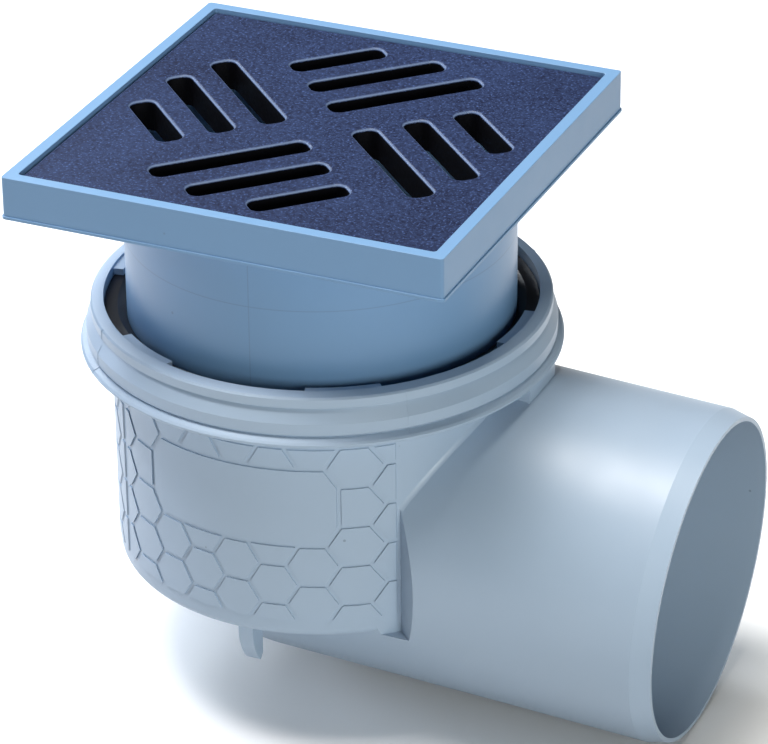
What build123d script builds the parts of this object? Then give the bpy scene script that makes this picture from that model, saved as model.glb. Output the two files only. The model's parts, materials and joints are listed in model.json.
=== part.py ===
from build123d import *
import os
from math import cos, radians, sin, sqrt

# Floor gully with a side outlet: a chamber with a spigot, a height-adjustable top and a bell trap inside.
# Millimetres, +Z up. The origin is where the chamber's upright axis crosses the outlet's axis,
# and the outlet leaves towards +X.

# Outlet spigot
outlet_radius = 55.0
outlet_wall = 3.0
outlet_reach = 134.6
outlet_fall_deg = 3.0
spigot_length = 54.6
root_swell = 0.4
outlet_bevel_length = 6.5
outlet_bevel_depth = 1.6

# Chamber
chamber_radius = 67.7
chamber_wall = 2.6
chamber_drop = 19.2
floor_thickness = 3.2
base_edge_radius = 3.0
notch_angle_deg = 45.0
notch_drop = 0.3

# Collar round the chamber's mouth
rim_height = 71.4
seat_width = 5.1
rim_wall = 4.2
rim_ring_height = 4.6
step_ring_width = 1.6
step_ring_height = 9.0
step_slope_height = 4.3
flange_width = 2.0
flange_thickness = 1.8
flange_root = 2.8
web_span_deg = 16.0
web_inset = 0.8
groove_depth = 0.9
edge_break = 0.6
lug_count = 6
lug_span_deg = 20.0
lug_reach = 3.6
lug_thickness = 2.2
lug_sink = 0.9

# Honeycomb relief on three sides of the chamber, with a bare panel in front
relief_height = 0.45
relief_half_angle_deg = 44.0
relief_foot_margin = 6.8
relief_head_margin = 3.3
cell_pitch = 14.1
cell_gap = 1.4
first_cell_height = 5.7
panel_half_width = 31.6
panel_height = 26.0
panel_head_margin = 7.5
panel_corner_width = 3.6
panel_corner_height = 6.0
relief_turns_deg = (0.0, -90.0, 180.0)

# Feet under the chamber
foot_thickness = 5.0
foot_depth = 7.0
foot_height = 16.4
foot_inset = 5.2
foot_tip = 1.9
foot_bow = 1.0
foot_bow_depth = 9.8

# Lip seal in the collar
seal_height = 10.5
seal_heel = 4.2
seal_clearance = 0.2
lip_clearance = 0.1
lip_thickness = 1.2
lip_droop = 1.6

# Upper section: square frame on a round neck
frame_ledge = 11.1
frame_height = 14.2
frame_rim = 4.0
frame_corner_radius = 1.2
frame_floor = 2.5
floor_level = 129.5
neck_gap = 2.3
neck_wall = 2.8
neck_engagement = 12.3
neck_chamfer = 1.0

# Grate
grate_gap = 0.5
grate_sink = 1.2
grate_corner_radius = 1.5
slot_width = 8.6
slot_pitch = 17.2
slot_offset = 11.7
slot_start = 7.8
slot_overlap = 1.0
slot_corner_radius = 3.2
slot_edge_radius = 0.9
quarter_count = 4
diagonal_deg = 45.0

# Overflow pipe that plugs into the chamber's floor
overflow_radius = 25.0
overflow_wall = 2.0
overflow_spigot_wall = 4.2
overflow_flange_width = 4.5
overflow_flange_thickness = 3.0
socket_depth = 10.0
socket_wall = 3.0
socket_clearance = 0.3
oring_section = 2.4
oring_clearance = 0.05
water_seal = 50.0

# Bell over the overflow pipe
bell_gap = 12.0
bell_wall = 2.2
bell_rim_gap = 4.0
bell_headroom = 11.0
bell_shoulder_radius = 12.0
bell_leg_count = 3
bell_leg_span_deg = 12.0
bell_rib_count = 4
bell_rib_thickness = 2.0
bell_rib_clearance = 0.4
bell_rib_lap = 11.0
grip_length = 34.0
grip_thickness = 4.0
grip_height = 9.0
grip_corner_radius = 4.0

# How far a cut runs on past the piece that it opens
overrun = 20.0

# Levels and radii that follow from the sizes above
outlet_bore = outlet_radius - outlet_wall
base_level = -chamber_drop
floor_top = base_level + floor_thickness
chamber_bore = chamber_radius - chamber_wall
collar_bore_radius = chamber_bore + seat_width
rim_ring_radius = collar_bore_radius + rim_wall
step_ring_radius = rim_ring_radius + step_ring_width
flange_radius = step_ring_radius + flange_width
flange_top = rim_height - rim_ring_height - step_ring_height
flange_low = flange_top - groove_depth - flange_thickness
wall_top = flange_low - flange_root
relief_bottom = base_level + relief_foot_margin
relief_top = wall_top - relief_head_margin
relief_half_width = chamber_radius * sin(radians(relief_half_angle_deg))
panel_top = relief_top - panel_head_margin
panel_bottom = panel_top - panel_height
seal_seat = rim_height - lug_sink - lug_thickness - seal_clearance - seal_height
neck_radius = chamber_bore - neck_gap
neck_bore = neck_radius - neck_wall
neck_bottom = seal_seat - neck_engagement
frame_side = 2 * (neck_radius + frame_ledge)
frame_bottom = floor_level - frame_height
frame_floor_top = frame_bottom + frame_floor
pocket_side = frame_side - 2 * frame_rim
slot_reach = neck_bore + slot_overlap
overflow_bore = overflow_radius - overflow_wall
spigot_radius = overflow_bore + overflow_spigot_wall
socket_radius = spigot_radius + socket_clearance
socket_bottom = base_level - socket_depth
bell_radius = neck_bore - bell_gap
bell_rim = floor_top + bell_rim_gap
overflow_top = bell_rim + water_seal
bell_ceiling = overflow_top + bell_headroom


def turned(points):
    """Solid of revolution about Z from a closed outline of (radius, height) points."""
    outline = make_face(Polyline([(r, 0, z) for r, z in points], close=True))
    return revolve(outline, Axis.Z)


def upright_cylinder(radius, bottom, top):
    """Cylinder on the Z axis between two levels."""
    return Pos(0, 0, bottom) * Cylinder(radius, top - bottom, align=(Align.CENTER, Align.CENTER, Align.MIN))


def duct(back_radius, flank_points):
    """Round-backed duct along the falling outlet axis, whose flank runs through (reach, radius) points."""
    dome = CenterArc((0, 0), back_radius, 90, 90)
    end_reach = flank_points[-1][0]
    flank = Polyline((0, back_radius), *flank_points, (end_reach, 0), (-back_radius, 0))
    outline = Plane.XZ * make_face(dome + flank)
    return Rot(0, outlet_fall_deg, 0) * revolve(outline, Axis.X)


def chamber_shell():
    """Turned outside of the chamber and its stepped collar, still solid inside."""
    groove = rim_ring_radius - groove_depth
    lower_groove = step_ring_radius - groove_depth
    rim_foot = rim_height - rim_ring_height
    flange_edge = flange_top - groove_depth
    shell = turned([
        (0, base_level),
        (chamber_radius, base_level),
        (chamber_radius, wall_top),
        (flange_radius - edge_break, flange_low),
        (flange_radius, flange_low + edge_break),
        (flange_radius, flange_edge - edge_break),
        (flange_radius - edge_break, flange_edge),
        (lower_groove, flange_top),
        (step_ring_radius, flange_top + groove_depth),
        (step_ring_radius, rim_foot - step_slope_height),
        (groove, rim_foot),
        (rim_ring_radius, rim_foot + edge_break),
        (rim_ring_radius, rim_height - 2 * edge_break),
        (rim_ring_radius - edge_break, rim_height - edge_break),
        (collar_bore_radius + edge_break, rim_height),
        (0, rim_height),
    ])
    base_edge = shell.edges().filter_by(GeomType.CIRCLE).sort_by(Axis.Z)[0]
    return fillet(base_edge, base_edge_radius)


def outlet_notch(side, margin):
    """Space beside the outlet's root, outside the chamber's wall, grown into the outlet by a margin."""
    far = flange_radius + overrun
    bottom = base_level - notch_drop - margin
    slant = radians(notch_angle_deg)
    apex = (margin * sin(slant), -side * margin * cos(slant))
    corner = (apex[0] + far * cos(slant), apex[1] + side * far * sin(slant))
    wedge = make_face(Polyline(apex, corner, (0, side * far), close=True))
    prism = extrude(Pos(0, 0, bottom) * wedge, wall_top - bottom)
    return prism - upright_cylinder(chamber_radius - margin, bottom - overrun, rim_height)


def outlet_web():
    """Short web between the flange and the top of the outlet, reaching down to the outlet's axis."""
    outer = flange_radius - web_inset
    top = flange_low + edge_break
    section = make_face(Polyline(
        [(chamber_bore, 0, 0), (outer, 0, 0), (outer, 0, top), (chamber_bore, 0, top)],
        close=True,
    ))
    return Rot(0, 0, -web_span_deg / 2) * revolve(section, Axis.Z, web_span_deg)


def honeycomb():
    """Flat outline of one side's hexagons, trimmed to the relief's border."""
    column_pitch = cell_pitch * sqrt(3) / 2
    columns = int(relief_half_width / column_pitch) + 1
    rows = int((relief_top - relief_bottom) / cell_pitch) + 2
    cell = RegularPolygon((cell_pitch - cell_gap) / 2, 6, major_radius=False)
    cells = Sketch()
    for column in range(-columns, columns + 1):
        start = relief_bottom + first_cell_height - column % 2 * cell_pitch / 2
        cells += [Pos(column * column_pitch, start + row * cell_pitch) * cell for row in range(rows)]
    border = Rectangle(2 * relief_half_width, relief_top - relief_bottom)
    return cells & Pos(0, (relief_top + relief_bottom) / 2) * border


def bare_panel():
    """Flat outline of the panel among the cells, an oblong with slanted corners."""
    side = panel_half_width
    crown = panel_half_width - panel_corner_width
    low = panel_bottom + panel_corner_height
    high = panel_top - panel_corner_height
    right = [(crown, panel_bottom), (side, low), (side, high), (crown, panel_top)]
    left = [(-across, height) for across, height in reversed(right)]
    return make_face(Polyline(right + left, close=True))


def relief_side(outline):
    """Raised cells on the chamber's front, from their flat outline."""
    crest = chamber_radius + relief_height
    skin = upright_cylinder(crest, relief_bottom, relief_top)
    skin -= upright_cylinder(chamber_bore, relief_bottom, relief_top)
    return extrude(Plane.XZ * outline, crest) & skin


def relief():
    """Honeycomb on the three sides away from the outlet, with the panel in front."""
    cells = honeycomb()
    panel = bare_panel()
    front = cells - offset(panel, cell_gap, kind=Kind.INTERSECTION) + panel
    sides = [relief_side(front), relief_side(cells), relief_side(cells)]
    return [Rot(0, 0, turn) * side for turn, side in zip(relief_turns_deg, sides)]


def foot(side):
    """Curved fin under the chamber's edge."""
    outer = chamber_radius - foot_inset
    inner = outer - foot_depth
    tip = base_level - foot_height
    root = base_level + floor_thickness / 2
    belly = ThreePointArc(
        (0, outer, base_level),
        (0, outer - foot_bow, base_level - foot_bow_depth),
        (0, inner + foot_tip, tip),
    )
    rest = Polyline(
        (0, inner + foot_tip, tip),
        (0, inner, tip + foot_tip),
        (0, inner, root),
        (0, outer, root),
        (0, outer, base_level),
    )
    fin = extrude(make_face(belly + rest), foot_thickness / 2, dir=(1, 0, 0), both=True)
    return fin if side > 0 else mirror(fin, Plane.XZ)


def collar_lugs():
    """Short tongues inside the rim that hold the seal down."""
    top = rim_height - lug_sink
    section = make_face(Polyline(
        [
            (collar_bore_radius - lug_reach, 0, top - lug_thickness),
            (collar_bore_radius + groove_depth, 0, top - lug_thickness),
            (collar_bore_radius + groove_depth, 0, top),
            (collar_bore_radius - lug_reach, 0, top),
        ],
        close=True,
    ))
    lug = revolve(section, Axis.Z, lug_span_deg)
    step = 360 / lug_count
    return [Rot(0, 0, index * step - lug_span_deg / 2) * lug for index in range(lug_count)]


def gully_body():
    """Chamber, collar, outlet and feet, moulded in one piece."""
    body = chamber_shell() + outlet_web()
    spigot_start = (outlet_reach - spigot_length, outlet_radius)
    bevel_start = (outlet_reach - outlet_bevel_length, outlet_radius)
    bevel_end = (outlet_reach, outlet_radius - outlet_bevel_depth)
    body += duct(outlet_radius + root_swell, [spigot_start, bevel_start, bevel_end])
    for side in (1, -1):
        body -= outlet_notch(side, 0)
        body += foot(side)
    body += relief()
    waterway = duct(outlet_bore, [(outlet_reach + overrun, outlet_bore)])
    waterway -= upright_cylinder(chamber_radius, base_level, rim_height)
    for side in (1, -1):
        waterway -= outlet_notch(side, outlet_wall)
    body -= waterway
    body += upright_cylinder(socket_radius + socket_wall, socket_bottom, floor_top)
    body -= upright_cylinder(socket_radius, socket_bottom, rim_height)
    body -= upright_cylinder(chamber_bore, floor_top, rim_height + overrun)
    body -= upright_cylinder(collar_bore_radius, seal_seat, rim_height + overrun)
    for lug in collar_lugs():
        body += lug
    return body


def lip_seal():
    """Rubber ring in the collar, with two lips that wipe the neck."""
    outer = collar_bore_radius - seal_clearance
    heel = outer - seal_heel
    lip = neck_radius + lip_clearance
    low = seal_seat + seal_clearance
    high = low + seal_height - seal_clearance
    upper_lip = high - lip_droop
    lower_lip = low + lip_droop
    return turned([
        (outer, low),
        (outer, high),
        (heel, high),
        (lip, upper_lip),
        (lip, upper_lip - lip_thickness),
        (heel, high - 2 * lip_droop - lip_thickness),
        (heel, low + 2 * lip_droop + lip_thickness),
        (lip, lower_lip + lip_thickness),
        (lip, lower_lip),
        (heel, low),
    ])


def rounded_plate(side, corner_radius, bottom, top):
    """Square plate on the Z axis with rounded upright edges."""
    outline = RectangleRounded(side, side, corner_radius)
    return extrude(Pos(0, 0, bottom) * outline, top - bottom)


def upper_section():
    """Square frame and round neck, moulded in one piece."""
    section = rounded_plate(frame_side, frame_corner_radius, frame_bottom, floor_level)
    section -= rounded_plate(pocket_side, frame_corner_radius, frame_floor_top, floor_level + overrun)
    section += turned([
        (neck_bore, neck_bottom),
        (neck_radius - neck_chamfer, neck_bottom),
        (neck_radius, neck_bottom + neck_chamfer),
        (neck_radius, frame_floor_top),
        (neck_bore, frame_floor_top),
    ])
    section -= upright_cylinder(neck_bore, neck_bottom - overrun, floor_level)
    return section


def slot_length(offset):
    """Length of the slot that runs at an offset from the plate's diagonal, up to the slots' reach."""
    return sqrt(max(slot_reach ** 2 - offset ** 2, 0)) - slot_start


def grate():
    """Cast plate with a pinwheel of slots along the diagonals."""
    bottom = frame_floor_top
    top = floor_level - grate_sink
    plate = rounded_plate(pocket_side - 2 * grate_gap, grate_corner_radius, bottom, top)
    slots = []
    offset = slot_offset
    while slot_length(offset) > slot_width:
        length = slot_length(offset)
        outline = Pos(slot_start + length / 2, offset, bottom) * RectangleRounded(
            length, slot_width, slot_corner_radius
        )
        slot = extrude(outline, top - bottom)
        for quarter in range(quarter_count):
            slots.append(Rot(0, 0, diagonal_deg + quarter * 360 / quarter_count) * slot)
        offset += slot_pitch
    plate -= slots
    upper = plate.edges().group_by(Axis.Z)[-1]
    return fillet(upper, slot_edge_radius)


def overflow_pipe():
    """Standpipe that sets the water level, pushed into the socket in the floor."""
    groove = socket_radius - oring_section - oring_clearance
    groove_middle = (socket_bottom + floor_top) / 2
    groove_half = oring_section / 2 + oring_clearance
    flange = socket_radius + overflow_flange_width
    return turned([
        (overflow_bore, socket_bottom),
        (spigot_radius, socket_bottom),
        (spigot_radius, groove_middle - groove_half),
        (groove, groove_middle - groove_half),
        (groove, groove_middle + groove_half),
        (spigot_radius, groove_middle + groove_half),
        (spigot_radius, floor_top),
        (flange, floor_top),
        (flange, floor_top + overflow_flange_thickness),
        (overflow_radius, floor_top + overflow_flange_thickness),
        (overflow_radius, overflow_top),
        (overflow_bore, overflow_top),
    ])


def overflow_seal():
    """Rubber ring in the standpipe's groove."""
    section_radius = oring_section / 2 - oring_clearance
    ring_radius = socket_radius - oring_section / 2 - oring_clearance
    level = (socket_bottom + floor_top) / 2
    return Pos(0, 0, level) * Torus(ring_radius, section_radius)


def trap_bell():
    """Removable bell whose rim dips below the water level."""
    inner = bell_radius - bell_wall
    top = bell_ceiling + bell_wall
    rib_start = overflow_radius + bell_rib_clearance
    rib_length = bell_radius - rib_start
    rib_height = bell_headroom + bell_rib_lap + bell_wall / 2
    rib_place = Pos(rib_start, 0, bell_ceiling + bell_wall / 2)
    rib = Box(rib_length, bell_rib_thickness, rib_height, align=(Align.MIN, Align.CENTER, Align.MAX))
    hollow = upright_cylinder(inner, bell_rim - overrun, bell_ceiling)
    hollow = fillet(hollow.edges().sort_by(Axis.Z)[-1], bell_shoulder_radius - bell_wall)
    for index in range(bell_rib_count):
        hollow -= Rot(0, 0, diagonal_deg + index * 360 / bell_rib_count) * rib_place * rib
    bell = upright_cylinder(bell_radius, floor_top, top)
    bell = fillet(bell.edges().sort_by(Axis.Z)[-1], bell_shoulder_radius)
    bell -= hollow
    window_section = make_face(Polyline(
        [
            (inner - bell_wall, 0, floor_top - bell_wall),
            (bell_radius + bell_wall, 0, floor_top - bell_wall),
            (bell_radius + bell_wall, 0, bell_rim),
            (inner - bell_wall, 0, bell_rim),
        ],
        close=True,
    ))
    leg_step = 360 / bell_leg_count
    window = revolve(window_section, Axis.Z, leg_step - bell_leg_span_deg)
    for index in range(bell_leg_count):
        bell -= Rot(0, 0, index * leg_step + bell_leg_span_deg / 2) * window
    blade = Plane.XZ * RectangleRounded(grip_length, grip_height * 2, grip_corner_radius)
    grip = Pos(0, 0, top) * extrude(blade, grip_thickness / 2, both=True)
    bell += grip - upright_cylinder(bell_radius, bell_rim - overrun, top - bell_wall / 2)
    return bell


os.makedirs("parts", exist_ok=True)
pieces = {
    "gully_body": gully_body(),
    "lip_seal": lip_seal(),
    "upper_section": upper_section(),
    "grate": grate(),
    "overflow_pipe": overflow_pipe(),
    "overflow_seal": overflow_seal(),
    "trap_bell": trap_bell(),
}
for name, piece in pieces.items():
    export_step(piece, f"parts/{name}.step")
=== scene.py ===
import json
from math import cos, radians, sin

import bmesh
import bpy
from mathutils import Matrix, Vector


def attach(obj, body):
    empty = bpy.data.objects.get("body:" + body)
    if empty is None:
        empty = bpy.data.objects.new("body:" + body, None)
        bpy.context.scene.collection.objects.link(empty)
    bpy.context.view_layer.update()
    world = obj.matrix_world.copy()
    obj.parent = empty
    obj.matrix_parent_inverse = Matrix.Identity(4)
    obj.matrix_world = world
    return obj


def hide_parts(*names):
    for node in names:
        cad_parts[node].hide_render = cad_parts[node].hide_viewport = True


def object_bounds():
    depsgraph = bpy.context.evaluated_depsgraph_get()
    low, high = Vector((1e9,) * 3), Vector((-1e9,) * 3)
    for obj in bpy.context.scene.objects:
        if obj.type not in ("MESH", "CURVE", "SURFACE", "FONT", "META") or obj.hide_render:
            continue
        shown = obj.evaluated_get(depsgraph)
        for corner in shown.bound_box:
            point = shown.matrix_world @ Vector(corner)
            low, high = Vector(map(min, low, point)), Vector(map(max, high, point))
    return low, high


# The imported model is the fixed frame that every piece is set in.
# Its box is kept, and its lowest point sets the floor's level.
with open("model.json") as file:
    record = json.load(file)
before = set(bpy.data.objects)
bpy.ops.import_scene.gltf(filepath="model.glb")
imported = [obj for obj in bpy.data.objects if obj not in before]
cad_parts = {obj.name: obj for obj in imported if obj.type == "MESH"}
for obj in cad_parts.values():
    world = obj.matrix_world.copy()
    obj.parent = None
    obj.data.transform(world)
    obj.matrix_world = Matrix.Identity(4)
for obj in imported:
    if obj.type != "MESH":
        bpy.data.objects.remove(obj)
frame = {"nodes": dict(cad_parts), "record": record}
cad_box = [list(corner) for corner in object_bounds()]


# Gully body: chamber, stepped collar, spigot and feet, one injection moulding of grey polypropylene.
# The mould opens sideways in four directions, which presses the honeycomb straight onto the round wall.
# A pipe's socket is pushed over the bevelled spigot, and the chamber is bedded in screed.
class Wire:
    """One output in a material's node tree. Arithmetic on outputs adds Math nodes."""

    def __init__(self, tree, socket=None):
        self.tree = tree
        self.socket = socket

    def node(self, kind, sockets, output=0, **settings):
        """A new node: its settings first, then the values or links of its sockets."""
        made = self.tree.nodes.new(kind)
        for name, value in settings.items():
            setattr(made, name, value)
        for name, value in sockets.items():
            if isinstance(value, Wire):
                self.tree.links.new(value.socket, made.inputs[name])
            else:
                made.inputs[name].default_value = value
        return Wire(self.tree, made.outputs[output]) if made.outputs else None

    def beside(self, output):
        """Another output of the same node."""
        return Wire(self.tree, self.socket.node.outputs[output])

    def math(self, operation, *values, **settings):
        return self.node("ShaderNodeMath", dict(enumerate(values)), operation=operation, **settings)

    def __add__(self, other):
        return self.math("ADD", self, other)

    def __radd__(self, other):
        return self.math("ADD", other, self)

    def __sub__(self, other):
        return self.math("SUBTRACT", self, other)

    def __rsub__(self, other):
        return self.math("SUBTRACT", other, self)

    def __mul__(self, other):
        return self.math("MULTIPLY", self, other)

    def __rmul__(self, other):
        return self.math("MULTIPLY", other, self)

    def clamped(self):
        """This output, kept between 0 and 1."""
        return self.math("ADD", self, 0.0, use_clamp=True)

    def blend(self, low, high):
        """A colour between two colours, by this output."""
        sockets = {"Factor": self, 6: low, 7: high}
        return self.node("ShaderNodeMix", sockets, output=2, data_type="RGBA")

    def noise(self, place, scale, detail):
        """Cloudy noise from 0 to 1, with features about one part in scale of a metre wide."""
        sockets = {"Vector": place, "Scale": scale, "Detail": detail}
        return self.node("ShaderNodeTexNoise", sockets)

    def line(self, place, half_width):
        """A soft line where this output comes near a value: 1 on it, 0 past its half width."""
        off = self.math("ABSOLUTE", self - place)
        return (1 - off * (1 / half_width)).clamped()


def new_material(name):
    """An empty material, its start wire and its Object coordinates."""
    material = bpy.data.materials.new(name)
    material.use_nodes = True
    tree = material.node_tree
    tree.nodes.clear()
    start = Wire(tree)
    place = start.node("ShaderNodeTexCoord", {}, output="Object")
    return material, start, place


def moulded_plastic(name, dark, light, mark, roughness, marks=None):
    """Satin polypropylene: cloudy flow marks, die grain, uneven gloss, stray specks and any mould marks."""
    flow_share = 0.7
    speck_radius = 0.034
    speck_sharpness = 80.0
    speck_strength = 0.6
    line_strength = 0.5
    grain_beside_lines = 0.3
    gloss_swing = 0.12
    material, start, place = new_material(name)
    flow = start.noise(place, scale=22.0, detail=3.0)
    grain = start.noise(place, scale=1500.0, detail=2.0)
    haze = start.noise(place, scale=120.0, detail=4.0)
    tone = flow * flow_share + haze * (1 - flow_share)
    seed = start.node("ShaderNodeTexVoronoi", {"Vector": place, "Scale": 60.0})
    stain = ((speck_radius - seed) * speck_sharpness).clamped() * speck_strength
    height = grain
    if marks:
        lines = marks(start, place)
        stain = (stain + lines * line_strength).clamped()
        height = grain * grain_beside_lines + lines
    colour = stain.blend(tone.blend(dark, light), mark)
    bump = start.node("ShaderNodeBump", {"Height": height, "Strength": 0.35, "Distance": 0.00002})
    shader = start.node("ShaderNodeBsdfPrincipled", {
        "Base Color": colour,
        "Roughness": roughness - gloss_swing / 2 + haze * gloss_swing,
        "Normal": bump,
        "IOR": 1.49,
    })
    start.node("ShaderNodeOutputMaterial", {"Surface": shader})
    return material


def round_edges(piece, radius):
    """Bevel modifier that rounds a piece's sharp edges."""
    rounding = piece.modifiers.new("rounded_edges", "BEVEL")
    rounding.width = radius
    rounding.segments = 2
    rounding.profile = 0.5
    rounding.harden_normals = True
    rounding.limit_method = "ANGLE"
    rounding.angle_limit = radians(32.0)


def moulded_copy(node_name, piece_name, crease_deg, edge_radius=None):
    """Merged copy of a node's mesh, smooth between its creases, with its corners rounded if asked."""
    weld_distance = 0.000002
    flat_deg = 0.2
    mesh = bpy.data.meshes.new(piece_name)
    shape = bmesh.new()
    shape.from_mesh(frame["nodes"][node_name].data)
    for layer in list(shape.loops.layers.uv):
        shape.loops.layers.uv.remove(layer)
    bmesh.ops.remove_doubles(shape, verts=shape.verts, dist=weld_distance)
    bmesh.ops.dissolve_limit(shape, angle_limit=radians(flat_deg), verts=shape.verts, edges=shape.edges)
    for face in shape.faces:
        face.smooth = True
        face.material_index = 0
    for edge in shape.edges:
        edge.smooth = edge.calc_face_angle(0) < radians(crease_deg)
    shape.to_mesh(mesh)
    shape.free()
    if "custom_normal" in mesh.attributes:
        mesh.attributes.remove(mesh.attributes["custom_normal"])
    piece = bpy.data.objects.new(piece_name, mesh)
    bpy.context.scene.collection.objects.link(piece)
    if edge_radius:
        round_edges(piece, edge_radius)
    return piece


gully_plastic = moulded_plastic(
    "grey_polypropylene",
    dark=(0.330, 0.426, 0.539, 1.0),
    light=(0.370, 0.466, 0.579, 1.0),
    mark=(0.150, 0.185, 0.235, 1.0),
    roughness=0.40,
)
body = moulded_copy("gully_body", "moulded_body", crease_deg=11.5, edge_radius=0.00022)
body.data.materials.append(gully_plastic)
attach(body, "gully")
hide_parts("gully_body")


# Saddle fillet: the small round in the corner where the spigot's root meets the chamber's wall.
# It is part of the body's moulding, one run on each side between the flange's web and the notch.
outlet = next(mount for mount in frame["record"]["mounts"] if mount["name"] == "outlet_spigot")
outlet_axis = Vector(outlet["axis"])
outlet_radius = outlet["dims"]["r_mm"] / 1000
root_swell = 0.0005
chamber_radius = 0.0677
corner_slack = 0.00003
notch_top = 0.0245
fillet_width = 0.0011
fillet_sink = 0.0004
fillet_middle = 0.32
fillet_crease_deg = 50.0


def on_saddle(at, side):
    """Whether a point of the body lies in the corner between the spigot and the chamber, above the notch."""
    swell = (at - outlet_axis * at.dot(outlet_axis)).length - outlet_radius
    on_wall = abs(at.xy.length - chamber_radius) < corner_slack
    return on_wall and 0 < swell < root_swell and at.x > 0 and at.y * side > 0 and at.z > notch_top


fillet_mesh = bpy.data.meshes.new("saddle_fillet")
fillet_shape = bmesh.new()
for side in (-1, 1):
    corner = [vert.co.copy() for vert in body.data.vertices if on_saddle(vert.co, side)]
    corner.sort(key=lambda at: at.z)
    rings = []
    for at in corner:
        wall_out = Vector((at.x, at.y, 0)).normalized()
        pipe_out = (at - outlet_axis * at.dot(outlet_axis)).normalized()
        along_wall = (pipe_out - wall_out * pipe_out.dot(wall_out)).normalized()
        along_pipe = (wall_out - pipe_out * wall_out.dot(pipe_out)).normalized()
        section = (
            at - (wall_out + pipe_out).normalized() * fillet_sink,
            at + along_wall * fillet_width,
            at + (along_wall + along_pipe) * fillet_width * fillet_middle,
            at + along_pipe * fillet_width,
        )
        ring = [fillet_shape.verts.new(point) for point in section]
        rings.append([fillet_shape.edges.new(pair) for pair in zip(ring, ring[1:] + ring[:1])])
    for low, high in zip(rings, rings[1:]):
        bmesh.ops.bridge_loops(fillet_shape, edges=low + high)
    for end in (rings[0], rings[-1]):
        bmesh.ops.contextual_create(fillet_shape, geom=end)
bmesh.ops.recalc_face_normals(fillet_shape, faces=fillet_shape.faces)
for face in fillet_shape.faces:
    face.smooth = True
for edge in fillet_shape.edges:
    edge.smooth = edge.calc_face_angle(0) < radians(fillet_crease_deg)
fillet_shape.to_mesh(fillet_mesh)
fillet_shape.free()
fillet = bpy.data.objects.new("saddle_fillet", fillet_mesh)
bpy.context.scene.collection.objects.link(fillet)
fillet.data.materials.append(gully_plastic)
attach(fillet, "gully")


# Mould lines: the thin ridges of plastic left on the collar where the mould's four sides met.
# They are part of the body's moulding and follow the steps of its rim and flange.
line_half = 0.00016
line_height = 0.00012
collar_inside = 0.0741
collar_bottom = 0.0555


def raised_strip(node_name, planes, kept, height):
    """Closed thin strip that follows a node's outside between cutting planes."""
    weld_distance = 0.000002
    sink = 0.00005
    shape = bmesh.new()
    shape.from_mesh(frame["nodes"][node_name].data)
    bmesh.ops.remove_doubles(shape, verts=shape.verts, dist=weld_distance)
    for point, away in planes:
        whole = shape.verts[:] + shape.edges[:] + shape.faces[:]
        bmesh.ops.bisect_plane(shape, geom=whole, plane_co=point, plane_no=away, clear_outer=True)
    spare = [face for face in shape.faces if not kept(face.calc_center_median())]
    bmesh.ops.delete(shape, geom=spare, context="FACES")
    shape.normal_update()
    for vert in shape.verts:
        vert.co -= vert.normal * sink
    bmesh.ops.solidify(shape, geom=shape.faces[:], thickness=-sink - height)
    bmesh.ops.recalc_face_normals(shape, faces=shape.faces)
    for face in shape.faces:
        face.smooth = False
    strip = bpy.data.meshes.new(node_name + "_strip")
    shape.to_mesh(strip)
    shape.free()
    return strip


def on_collar(at):
    """Whether a point of the body lies on the collar's outside."""
    return at.xy.length > collar_inside and at.z > collar_bottom


mould_lines = bpy.data.meshes.new("collar_mould_lines")
ridges = bmesh.new()
for quarter_deg in (45, 135, 225, 315):
    outward = Vector((cos(radians(quarter_deg)), sin(radians(quarter_deg)), 0))
    aside = Vector((-outward.y, outward.x, 0))
    planes = (
        (aside * line_half, aside),
        (-aside * line_half, -aside),
        (Vector((0, 0, 0)), -outward),
    )
    ridges.from_mesh(raised_strip("gully_body", planes, on_collar, line_height))
ridges.to_mesh(mould_lines)
ridges.free()
collar_lines = bpy.data.objects.new("collar_mould_lines", mould_lines)
bpy.context.scene.collection.objects.link(collar_lines)
collar_lines.data.materials.append(gully_plastic)
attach(collar_lines, "gully")


# Standpipe and the bell over it: two plain polypropylene mouldings that lift out for cleaning.
# The pipe is pushed into the socket in the floor, and the bell stands on three legs round it.
trap_plastic = moulded_plastic(
    "trap_polypropylene",
    dark=(0.30, 0.34, 0.38, 1.0),
    light=(0.35, 0.39, 0.43, 1.0),
    mark=(0.14, 0.16, 0.18, 1.0),
    roughness=0.38,
)
for node_name, piece_name in (("overflow_pipe", "standpipe"), ("trap_bell", "bell")):
    piece = moulded_copy(node_name, piece_name, crease_deg=32.0, edge_radius=0.0003)
    piece.data.materials.append(trap_plastic)
    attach(piece, "gully")
    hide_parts(node_name)


# O-ring: a moulded ring of black rubber in the groove of the standpipe's plug.
# It is stretched over the plug and seals the pipe in the floor's socket.
def black_rubber(name):
    """Smooth moulded rubber with a slight bloom."""
    gloss_low = 0.24
    gloss_swing = 0.14
    material, start, place = new_material(name)
    bloom = start.noise(place, scale=90.0, detail=4.0)
    grain = start.noise(place, scale=2200.0, detail=2.0)
    bump = start.node("ShaderNodeBump", {"Height": grain, "Strength": 0.25, "Distance": 0.00002})
    shader = start.node("ShaderNodeBsdfPrincipled", {
        "Base Color": bloom.blend((0.006, 0.006, 0.009, 1.0), (0.013, 0.013, 0.018, 1.0)),
        "Roughness": gloss_low + bloom * gloss_swing,
        "Specular IOR Level": 0.35,
        "Normal": bump,
    })
    start.node("ShaderNodeOutputMaterial", {"Surface": shader})
    return material


seal_rubber = black_rubber("black_seal_rubber")
o_ring = moulded_copy("overflow_seal", "o_ring", crease_deg=60.0)
o_ring.data.materials.append(seal_rubber)
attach(o_ring, "gully")
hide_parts("overflow_seal")


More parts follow.
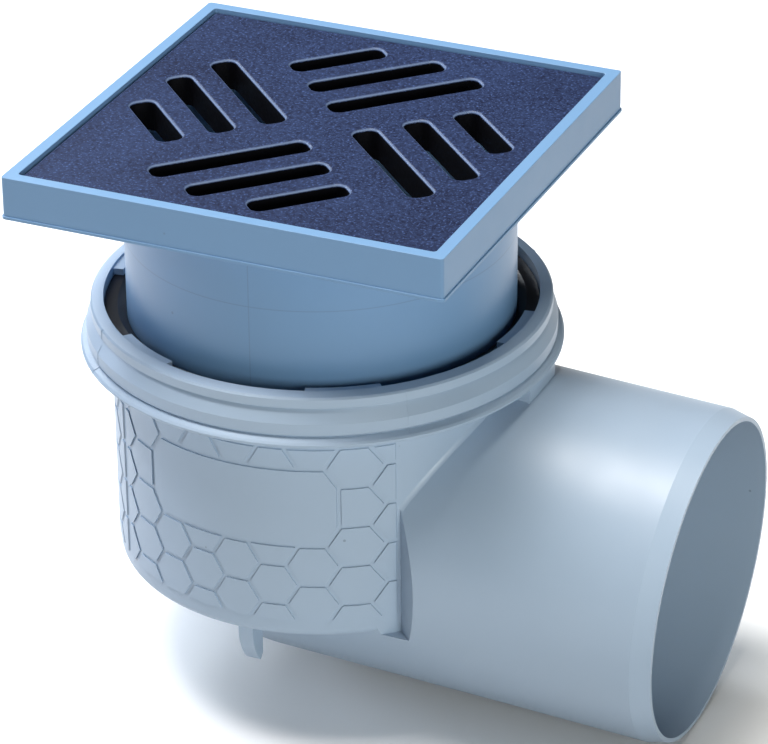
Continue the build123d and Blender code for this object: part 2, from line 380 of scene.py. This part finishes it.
# Lip seal: one black rubber ring, dropped into the collar and held down by the collar's lugs.
# Its two lips wipe the neck, which slides and turns in them.
seal = moulded_copy("lip_seal", "lip_seal_ring", crease_deg=24.0, edge_radius=0.0003)
seal.data.materials.append(seal_rubber)
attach(seal, "seal")
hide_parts("lip_seal")


# Upper section: square frame and round neck in one moulding of pale blue-grey plastic.
# The neck is pushed down into the lip seal until the frame is level with the floor's tiles.
# The neck's mould leaves a fine line round it and one down its front.
neck_line_level = 0.0948
neck_seam_place = 0.0042
neck_line_half = 0.00028
frame_underside = 0.1150


def neck_lines(start, place):
    """Where the neck's mould inserts met."""
    across = start.node("ShaderNodeSeparateXYZ", {0: place})
    along = across.beside("Y")
    height = across.beside("Z")
    neck_only = height.math("LESS_THAN", height, frame_underside)
    front_only = along.math("LESS_THAN", along, 0.0)
    ring = height.line(neck_line_level, neck_line_half)
    seam = across.line(neck_seam_place, neck_line_half) * front_only * neck_only
    return (ring + seam).clamped()


top_plastic = moulded_plastic(
    "blue_grey_plastic",
    dark=(0.142, 0.275, 0.455, 1.0),
    light=(0.166, 0.303, 0.490, 1.0),
    mark=(0.105, 0.175, 0.275, 1.0),
    roughness=0.38,
    marks=neck_lines,
)
top = moulded_copy("upper_section", "frame_and_neck", crease_deg=20.0, edge_radius=0.0005)
top.data.materials.append(top_plastic)
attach(top, "top")
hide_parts("upper_section")


# Frame lip: a fine bead round the frame's lower edge, part of the same moulding.
# It stands out a little from the frame's four sides.
lip_tall = 0.0011
lip_out = 0.00045
lip_rounding = lip_out * 0.8
frame_half = 0.0739
frame_bottom = 0.1153
side_depth = 0.0006
underside_gap = 0.0001


def on_frame_side(at):
    """Whether a point of the upper section lies on one of the frame's four sides."""
    return max(abs(at.x), abs(at.y)) > frame_half - side_depth and at.z > frame_bottom + underside_gap


lip_planes = ((Vector((0, 0, frame_bottom + lip_tall)), Vector((0, 0, 1))),)
lip_mesh = raised_strip("upper_section", lip_planes, on_frame_side, lip_out)
frame_lip = bpy.data.objects.new("frame_lip", lip_mesh)
bpy.context.scene.collection.objects.link(frame_lip)
round_edges(frame_lip, lip_rounding)
frame_lip.data.materials.append(top_plastic)
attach(frame_lip, "top")


# Grate: one iron casting with a pinwheel of slots, lying loose in the frame.
# Its top has a dark blue coating with a fine sand grain, whose glints are lighter specks painted into its
# colour.
# The coating is rubbed smooth on the slots' edges, where a paler band is a painted highlight, and everything
# below the top is a near-black painted shade for the deep slots.
slot_rounding = 0.0009
grate_top = max(vert.co.z for vert in frame["nodes"]["grate"].data.vertices)
# A band along the slots' rounded top edges: a smoother, glossier coat, and a paler colour that is a painted
# highlight.
highlight_band_level = grate_top - slot_rounding * 0.5
highlight_band_half = slot_rounding * 0.48
# Below this level the grate's colour is a near-black painted shade, for the deep slots.
slot_shade_level = grate_top - slot_rounding * 1.1


def coated_iron(name):
    """Dark blue grained coating with painted glint specks, a painted highlight on the slots' rounded edges,
    and near-black painted shade below the top.
    """
    coat_dark = (0.008, 0.011, 0.032, 1.0)
    coat_light = (0.022, 0.037, 0.095, 1.0)
    # painted glint: a lighter blue painted into the coating at scattered specks, standing for the grain's
    # glints
    painted_glint_blue = (0.054, 0.090, 0.215, 1.0)
    # painted highlight: the paler blue of the band along the slots' rounded edges
    painted_highlight_blue = (0.17, 0.24, 0.40, 1.0)
    # painted shade: the near-black colour of everything below the top's rounded edges
    painted_slot_shade = (0.004, 0.004, 0.006, 1.0)
    grain_share = 0.7
    tone_floor = 0.34
    tone_gain = 3.2
    painted_glint_floor = 0.56
    painted_glint_gain = 5.0
    worn_smoothness = 0.8
    worn_shine = 0.5
    gloss_low = 0.40
    gloss_swing = 0.20
    material, start, place = new_material(name)
    grain = start.noise(place, scale=800.0, detail=3.0)
    speck = start.noise(place, scale=1200.0, detail=1.0)
    cloud = start.noise(place, scale=30.0, detail=3.0)
    # painted glint: where the speck noise is high, the coating's colour is lighter
    painted_glint = ((speck - painted_glint_floor) * painted_glint_gain).clamped()
    tone = ((grain * grain_share + cloud * (1 - grain_share) - tone_floor) * tone_gain).clamped()
    coat = tone.blend(coat_dark, coat_light)
    height = start.node("ShaderNodeSeparateXYZ", {0: place}, output="Z")
    # painted highlight: the band along the slots' rounded edges, which is also smoother and glossier
    worn_and_highlight = height.line(highlight_band_level, highlight_band_half)
    # painted shade: near black below the top's rounded edges, slot walls, sides and underside alike
    below_top_shade = height.math("LESS_THAN", height, slot_shade_level)
    top_coat = worn_and_highlight.blend(painted_glint.blend(coat, painted_glint_blue), painted_highlight_blue)
    skin = (grain * grain_share + speck * (1 - grain_share)) * (1 - worn_and_highlight * worn_smoothness)
    bump = start.node("ShaderNodeBump", {"Height": skin, "Strength": 0.5, "Distance": 0.00006})
    shader = start.node("ShaderNodeBsdfPrincipled", {
        "Base Color": below_top_shade.blend(top_coat, painted_slot_shade),
        "Roughness": gloss_low + grain * gloss_swing,
        "Specular IOR Level": 0.10,
        "Coat Weight": worn_and_highlight * worn_shine,
        "Coat Roughness": 0.25,
        "Normal": bump,
    })
    start.node("ShaderNodeOutputMaterial", {"Surface": shader})
    return material


plate = moulded_copy("grate", "slotted_grate", crease_deg=25.0)
even_top = plate.modifiers.new("even_top", "WEIGHTED_NORMAL")
even_top.weight = 100
even_top.keep_sharp = True
plate.data.materials.append(coated_iron("coated_cast_iron"))
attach(plate, "top")
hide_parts("grate")


# Stage: a plain white floor under the lowest point of the spigot.
# It keeps the object's soft shadow, and far from the object it shows plain white to the camera.
floor_level = cad_box[0][2]
floor_half = 4.0
floor_bounce = (0.43, 0.43, 0.43, 1.0)
floor_white = (0.97, 0.97, 0.97, 1.0)
shadow_reach = 0.45
shadow_fade = 3.0
floor_mesh = bpy.data.meshes.new("floor")
floor_shape = bmesh.new()
bmesh.ops.create_grid(
    floor_shape, x_segments=1, y_segments=1, size=floor_half, matrix=Matrix.Translation((0, 0, floor_level))
)
floor_shape.to_mesh(floor_mesh)
floor_shape.free()
floor = bpy.data.objects.new("floor", floor_mesh)
bpy.context.scene.collection.objects.link(floor)
floor_material, floor_start, floor_place = new_material("white_floor")
camera_ray = floor_start.node("ShaderNodeLightPath", {}, output="Is Camera Ray")
mirror_ray = camera_ray.beside("Is Glossy Ray") + camera_ray.beside("Is Transmission Ray")
seen = (camera_ray + mirror_ray).clamped()
lit_floor = floor_start.node("ShaderNodeBsdfDiffuse", {"Color": seen.blend(floor_bounce, floor_white)})
far_white = floor_start.node("ShaderNodeEmission", {"Color": (1.0, 1.0, 1.0, 1.0)})
reach = floor_start.node("ShaderNodeVectorMath", {0: floor_place}, output="Value", operation="LENGTH")
far = ((reach - shadow_reach) * shadow_fade).clamped() * seen
floor_shader = floor_start.node("ShaderNodeMixShader", {0: far, 1: lit_floor, 2: far_white})
floor_start.node("ShaderNodeOutputMaterial", {"Surface": floor_shader})
floor.data.materials.append(floor_material)


# Light: six soft boxes in a dim room. Two hang above, and three bluish ones stand on the left and behind.
# One low on the right brightens the spigot's side of the neck and chamber.
light_middle = Vector((0.03, 0.0, 0.03))
light_distance = 1.6
light_width = 0.6
room_tint = (0.95, 0.97, 1.0, 1.0)
room_strength = 0.03


def from_middle(azimuth_deg, elevation_deg):
    """Direction from the object, with azimuth 0 towards -Y and 90 towards the outlet."""
    azimuth = radians(azimuth_deg)
    elevation = radians(elevation_deg)
    level = cos(elevation)
    return Vector((sin(azimuth) * level, -cos(azimuth) * level, sin(elevation)))


def soft_box(name, azimuth_deg, elevation_deg, power, tint):
    """Square area lamp that faces the object."""
    lamp = bpy.data.lights.new(name, "AREA")
    lamp.size = light_width
    lamp.energy = power
    lamp.color = tint
    way = from_middle(azimuth_deg, elevation_deg)
    box = bpy.data.objects.new(name, lamp)
    box.location = light_middle + way * light_distance
    box.rotation_euler = (-way).to_track_quat("-Z", "Y").to_euler()
    bpy.context.scene.collection.objects.link(box)


soft_box("overhead", azimuth_deg=0.0, elevation_deg=90.0, power=13.0, tint=(1.0, 0.97, 0.90))
soft_box("upper_left", azimuth_deg=-54.0, elevation_deg=75.0, power=19.5, tint=(1.0, 0.95, 0.93))
soft_box("left", azimuth_deg=-90.0, elevation_deg=55.0, power=11.0, tint=(0.83, 0.90, 1.0))
soft_box("back_left", azimuth_deg=-126.0, elevation_deg=32.0, power=11.0, tint=(0.88, 0.94, 1.0))
soft_box("low_left", azimuth_deg=-90.0, elevation_deg=12.0, power=10.5, tint=(0.70, 0.82, 1.0))
soft_box("low_right", azimuth_deg=48.0, elevation_deg=12.0, power=13.5, tint=(0.96, 1.0, 0.98))

world = bpy.data.worlds.new("dim_room")
bpy.context.scene.world = world
world.use_nodes = True
world.node_tree.nodes.clear()
room = Wire(world.node_tree)
room_light = room.node("ShaderNodeBackground", {"Color": room_tint, "Strength": room_strength})
room.node("ShaderNodeOutputWorld", {"Surface": room_light})


# Camera: at the photograph's place, fitted to the outlines of the frame, collar and spigot.
# It looks down on the object from the front, a little to the outlet's side.
view_azimuth_deg = 24.056
view_elevation_deg = 28.093
view_roll = radians(-0.668)
view_distance = 1.378559
view_right = 0.019573
view_up = 0.004802
view_centre = Vector((0, 0, 0.035))
focal_pixels = 4237.466
image_pixels = 768
film_width = 36.0

back = from_middle(view_azimuth_deg, view_elevation_deg)
level_right = Vector((cos(radians(view_azimuth_deg)), sin(radians(view_azimuth_deg)), 0))
level_up = back.cross(level_right)
right = cos(view_roll) * level_right + sin(view_roll) * level_up
up = cos(view_roll) * level_up - sin(view_roll) * level_right
lens = bpy.data.cameras.new("photograph")
lens.sensor_width = film_width
lens.lens = focal_pixels / image_pixels * film_width
lens.clip_start = 0.05
lens.clip_end = 20.0
camera = bpy.data.objects.new("photograph", lens)
stand = view_centre + back * view_distance + right * view_right + up * view_up
camera.matrix_world = Matrix.Translation(stand) @ Matrix((right, up, back)).transposed().to_4x4()
bpy.context.scene.collection.objects.link(camera)
bpy.context.scene.camera = camera
bpy.context.scene.view_settings.view_transform = "Standard"
